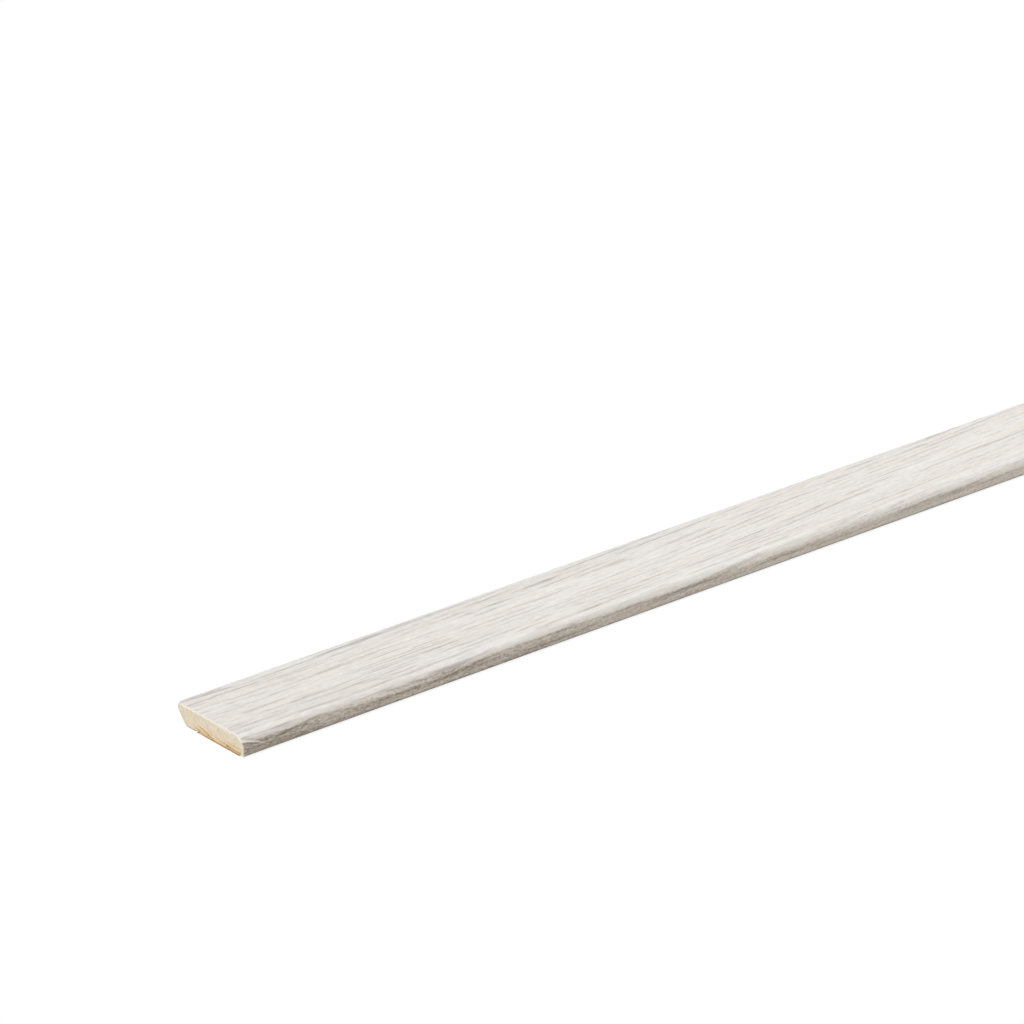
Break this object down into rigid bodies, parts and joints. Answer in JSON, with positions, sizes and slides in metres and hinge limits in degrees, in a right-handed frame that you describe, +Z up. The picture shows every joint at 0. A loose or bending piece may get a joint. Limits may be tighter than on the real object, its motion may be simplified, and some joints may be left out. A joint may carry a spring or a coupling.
{
  "type": "self-adhesive skirting board",
  "caption": "Slim wood-core skirting strip wrapped in pale oak-print foil, with a rounded nose, an undercut lip and an adhesive tape under a release liner on its back.",
  "frame": {"origin": "on the floor under the middle of the board, which lies on its back with its face up", "axes": "+X along the board, -Y towards the rounded nose, +Y towards the undercut lip, +Z up through the face"},
  "size_m": [2.4, 0.025, 0.005],
  "materials": {
    "softwood": "sawn end grain, pale cream, golden towards the back, with thin orange-brown latewood lines there",
    "oak_print_foil": "satin printed film, whitewashed oak with fine grey-beige streaks along the length",
    "adhesive": "amber-brown pressure-sensitive adhesive",
    "kraft_liner": "brown siliconised kraft paper, slight sheen"
  },
  "bodies": {
    "root": {"wood_core": "softwood", "decor_foil": "oak_print_foil", "adhesive_tape": "adhesive", "release_liner": "kraft_liner"}
  },
  "joints": []
}
